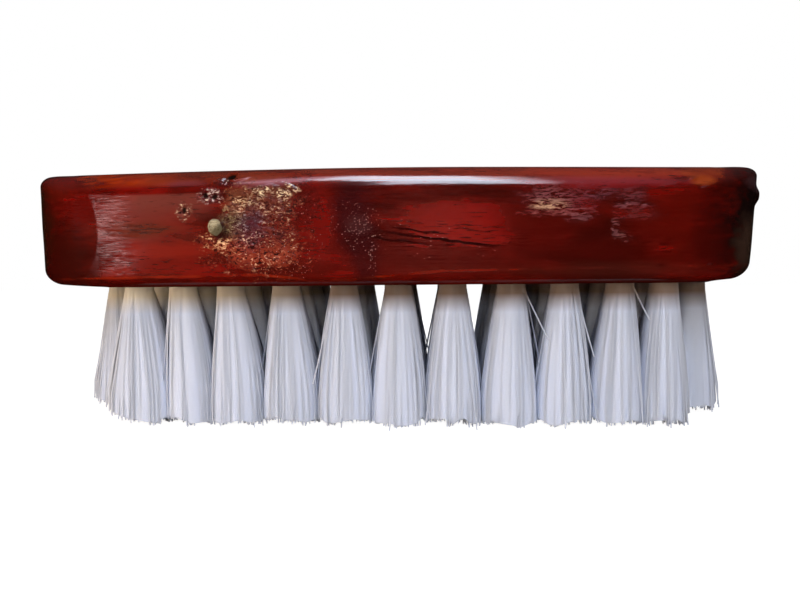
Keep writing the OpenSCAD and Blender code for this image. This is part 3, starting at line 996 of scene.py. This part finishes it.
for name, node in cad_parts.items():
    if name.startswith("anchors_"):
        node.data.materials.clear()
        node.data.materials.append(tinned_wire)


# Studio. A pale floor under the tips, a white surround that only the camera
# sees, a tall window high in front, soft fill from the room, and light from
# behind that shows between the tufts.
floor_size = 3
floor_mesh = bpy.data.meshes.new("floor")
floor_mesh.from_pydata([(-floor_size, -floor_size, 0), (floor_size, -floor_size, 0),
                        (floor_size, floor_size, 0), (-floor_size, floor_size, 0)],
                       [], [(0, 1, 2, 3)])
floor = put_in_scene("floor", floor_mesh)

# Matt white paint. It takes the brush's shadow, glows nearly to white for the
# camera, and has a dark mirror image, so that it doesn't wash out the varnish.
floor_own_share = 0.6
floor_glow_strength = 0.95
floor_paint, paint = new_finish("matt_white_floor")
floor_rays = add(paint, "ShaderNodeLightPath")
floor_colour = add(paint, "ShaderNodeMix", {
    "Factor": floor_rays.outputs["Is Glossy Ray"],
    6: linear("#e4e2de"), 7: linear("#060505")}, data_type="RGBA")
floor_matt = add(paint, "ShaderNodeBsdfDiffuse", {"Color": floor_colour})
floor_white = add(paint, "ShaderNodeEmission", {
    "Color": (1, 1, 1, 1), "Strength": floor_glow_strength})
floor_own = add(paint, "ShaderNodeMixShader", {
    0: add(paint, "ShaderNodeMath", {
        0: floor_rays.outputs["Is Camera Ray"], 1: floor_own_share},
        operation="MULTIPLY"),
    1: floor_matt})
floor_glow = add(paint, "ShaderNodeMixShader", {
    0: floor_rays.outputs["Is Camera Ray"], 2: floor_white})
floor_mix = add(paint, "ShaderNodeAddShader", {
    0: floor_own, 1: floor_glow})
add(paint, "ShaderNodeOutputMaterial", {"Surface": floor_mix})
floor_mesh.materials.append(floor_paint)

# The surround: warm and dim low down, as light off a table is, and a cool grey
# higher up. The varnish mirrors a nearly black one, and the camera sees white.
fill_strength = 0.62
mirrored_low, mirrored_high = 0.003, 0.065
world = bpy.data.worlds.new("studio")
scene.world = world
world.use_nodes = True
air = world.node_tree
air.nodes.clear()
rays = add(air, "ShaderNodeLightPath")
sky = add(air, "ShaderNodeSeparateXYZ", {
    0: add(air, "ShaderNodeTexCoord").outputs["Generated"]})
mirrored_sky = add(air, "ShaderNodeMapRange", {
    0: sky.outputs["Z"], 1: 0.1, 2: 1, 3: mirrored_low, 4: mirrored_high})
fill_height = add(air, "ShaderNodeMapRange", {0: sky.outputs["Z"], 1: 0.1, 2: 0.6})
fill_colour = add(air, "ShaderNodeMix", {
    "Factor": fill_height, 6: linear("#e8c8a4"), 7: linear("#8f959c")},
    data_type="RGBA")
fill = add(air, "ShaderNodeBackground", {
    "Color": fill_colour, "Strength": fill_strength})
mirror = add(air, "ShaderNodeBackground", {
    "Color": (1, 1, 1, 1), "Strength": mirrored_sky})
white = add(air, "ShaderNodeBackground", {"Color": (1, 1, 1, 1), "Strength": 1})
soft_or_gloss = add(air, "ShaderNodeMixShader", {
    0: rays.outputs["Is Glossy Ray"], 1: fill, 2: mirror})
seen = add(air, "ShaderNodeMixShader", {
    0: rays.outputs["Is Camera Ray"], 1: soft_or_gloss, 2: white})
add(air, "ShaderNodeOutputWorld", {"Surface": seen})


def lamp(name, stands_at, target, width, height, power, tint):
    """Rectangular lamp that faces its target and that the camera doesn't see."""
    data = bpy.data.lights.new(name, "AREA")
    data.shape = "RECTANGLE"
    data.size, data.size_y = width, height
    data.energy = power
    data.color = linear(tint)[:3]
    made = put_in_scene(name, data)
    made.location = stands_at
    facing = Vector(target) - Vector(stands_at)
    made.rotation_euler = facing.to_track_quat("-Z", "Y").to_euler()
    made.visible_camera = False
    return made


# The window in front. Its mirror image is the long highlight on the varnish: it
# is softer at its foot and at both sides, where rosy curtains hang. Each pane:
# left and right edge, lower and upper edge, radiance and colour.
window_y = -0.40
panes = (
    ("window", -0.032, 0.0987, 0.249, 0.662, 7.0, "#d8e4f4"),
    ("window_foot", -0.032, 0.12, 0.142, 0.249, 5.2, "#d8e4f4"),
    ("window_middle", -0.07, -0.032, 0.30, 0.75, 7.0, "#d8e4f4"),
    ("window_left", -0.13, -0.07, 0.38, 0.85, 6.0, "#d8e4f4"),
    ("window_side", 0.0987, 0.135, 0.142, 0.662, 2.4, "#f0dcec"),
    ("curtain_left", -0.215, -0.13, 0.33, 0.90, 1.6, "#e8c4dc"),
    ("curtain_right", 0.135, 0.304, 0.142, 0.662, 0.12, "#f0c0dc"),
)
for name, left, right, low, high, radiance, tint in panes:
    middle_x, middle_z = (left + right) / 2, (low + high) / 2
    lamp(name, (middle_x, window_y, middle_z), (middle_x, 0, middle_z), right - left, high - low,
         radiance * math.pi * (right - left) * (high - low), tint)
# Soft fill that the varnish doesn't mirror: the room in front, a warm patch
# beside the camera, the wall behind, and two low reflectors, in front and at the
# left. Each: where it stands, what it faces, width, height, watts and colour.
soft_lamps = (
    ("room", (0.006, -0.2, 0.018), (0.006, 0, 0.014), 0.25, 0.06, 0.028, "#f0f4ff"),
    ("beside_camera", (0.006, -0.105, 0.019), (0.002, 0, 0.014), 0.03, 0.02, 0.018, "#fff0e0"),
    ("behind", (0, 0.25, 0.07), (0, half_width, 0.012), 0.3, 0.1, 0.3, "#f4f4ff"),
    ("reflector", (-0.02, -0.075, 0.003), (-0.02, -0.013, 0.015), 0.15, 0.03, 0.004, "#ffd9b4"),
    ("side_reflector", (-0.078, -0.062, 0.010), (-0.036, -0.012, 0.014), 0.05, 0.03, 0.020,
     "#ffe6cc"),
)
for soft_lamp in soft_lamps:
    lamp(*soft_lamp).visible_glossy = False
# A small rosy patch at the left, which the left corner mirrors
lamp("door", (-0.135, -0.146, 0.015), (-0.037, -half_width, 0.025), 0.013, 0.02, 0.0023, "#ffc8c6")

scene.view_settings.view_transform = "Standard"
